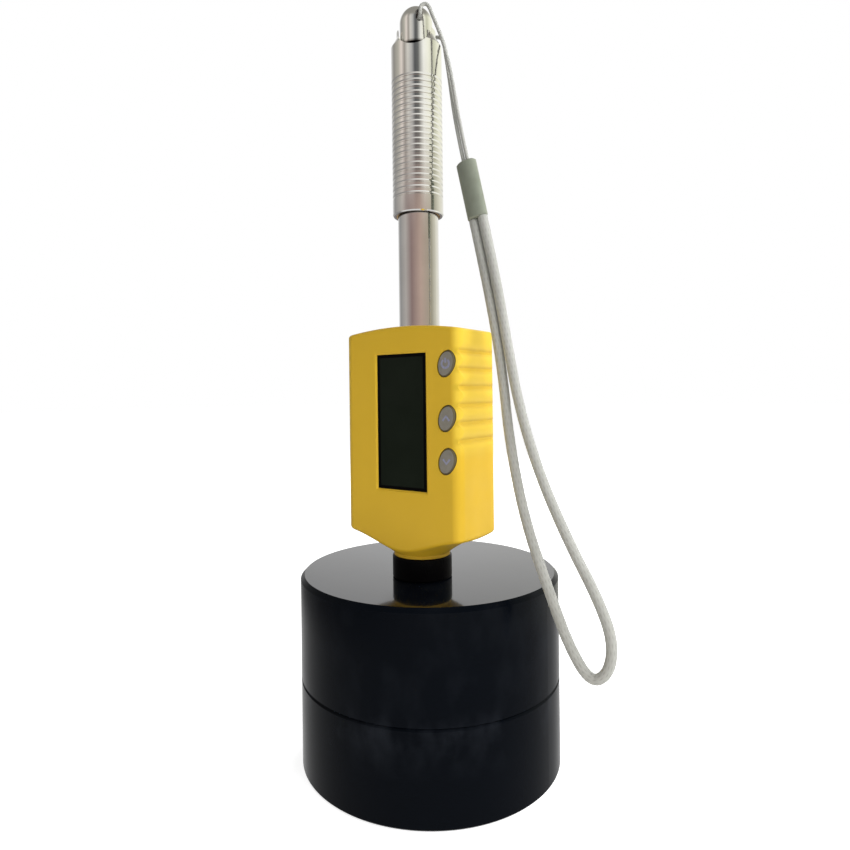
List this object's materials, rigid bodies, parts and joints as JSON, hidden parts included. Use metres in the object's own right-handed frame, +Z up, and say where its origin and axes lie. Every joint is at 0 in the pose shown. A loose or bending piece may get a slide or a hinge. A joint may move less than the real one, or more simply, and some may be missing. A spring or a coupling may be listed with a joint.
{
  "type": "metal hardness tester",
  "caption": "Pen-shaped rebound hardness tester with a display housing, a ribbed loading sleeve, a release button and a wrist strap, standing on its round test block.",
  "frame": {"origin": "centre of the test block's underside", "axes": "+Z up, along the block's axis and the tube; the housing's screen faces -Y; the keys and the strap are on the +X side; the tester stands 9 mm off the block's axis, as put down by hand"},
  "size_m": [0.1047, 0.0806, 0.2301],
  "materials": {
    "black_block": "gloss black",
    "black_ring": "satin black",
    "yellow_plastic": "fine moulded satin",
    "screen": "polished dark tint",
    "display": "dark panel",
    "key_grey": "satin grey with paler printed ring",
    "black_plastic": "matt",
    "black_rubber": "matt",
    "copper": "enamelled wire",
    "bronze": "turned",
    "chrome": "polished",
    "steel": "ground",
    "bright_metal": "nickel plated",
    "ball": "lapped",
    "board": "solder resist",
    "battery_foil": "foil pouch",
    "strap": "braided off-white cord",
    "ferrule": "satin grey-green"
  },
  "bodies": {
    "block": {"block_base": "black_block", "test_block": "black_block"},
    "tester": {"support_ring": "black_ring", "guide_tube": "chrome", "coil_bobbin": "black_plastic", "pickup_coil": "copper", "snap_ring": "steel", "tube_seal": "black_rubber", "stop_ring": "steel", "front_shell": "yellow_plastic", "rear_shell": "yellow_plastic", "shell_screws": "steel", "screen_window": "screen", "display_module": "display", "circuit_board": "board", "board_screws": "steel", "key_switches": "black_plastic", "battery": "battery_foil", "charge_socket": "bright_metal", "loading_spring": "steel", "strap_ferrule": "ferrule", "wrist_loop": "strap"},
    "sleeve": {"loading_sleeve": "chrome", "sleeve_bush": "bronze", "sleeve_cap": "chrome", "chuck_rod": "steel", "catch_chuck": "steel", "impact_spring": "steel", "button_spring": "steel", "strap_cord": "strap"},
    "button": {"release_button": "chrome", "release_pin": "steel"},
    "impact": {"impact_body": "steel", "impact_ball": "ball", "body_magnet": "bright_metal", "body_tail": "steel"},
    "key_one": {"key_top": "key_grey"},
    "key_two": {"key_middle": "key_grey"},
    "key_three": {"key_bottom": "key_grey"},
    "plug": {"port_plug": "black_rubber"}
  },
  "joints": [
    {"name": "tester_lift", "type": "slide", "parent": "block", "child": "tester", "axis": [0, 0, 1], "range_m": [0, 0.06]},
    {"name": "sleeve_load", "type": "slide", "parent": "tester", "child": "sleeve", "axis": [0, 0, -1], "range_m": [0, 0.025], "stiffness_N_per_m": 300, "springref_m": -0.01, "deforming": ["loading_spring", "strap_cord"]},
    {"name": "impact_load", "type": "slide", "parent": "tester", "child": "impact", "axis": [0, 0, -1], "range_m": [0, 0.025]},
    {"name": "button_press", "type": "slide", "parent": "sleeve", "child": "button", "axis": [0, 0, -1], "range_m": [0, 0.0016], "stiffness_N_per_m": 800, "springref_m": -0.001, "deforming": ["button_spring"]},
    {"name": "key_top_press", "type": "slide", "parent": "tester", "child": "key_one", "axis": [0, 1, 0], "range_m": [0, 0.0005], "stiffness_N_per_m": 1500, "springref_m": -0.0003},
    {"name": "key_middle_press", "type": "slide", "parent": "tester", "child": "key_two", "axis": [0, 1, 0], "range_m": [0, 0.0005], "stiffness_N_per_m": 1500, "springref_m": -0.0003},
    {"name": "key_bottom_press", "type": "slide", "parent": "tester", "child": "key_three", "axis": [0, 1, 0], "range_m": [0, 0.0005], "stiffness_N_per_m": 1500, "springref_m": -0.0003},
    {"name": "plug_pull", "type": "slide", "parent": "tester", "child": "plug", "axis": [-1, 0, 0], "range_m": [0, 0.008]}
  ],
  "couplings": [
    {"joint": "impact_load", "follows": "sleeve_load", "ratio": 1}
  ]
}
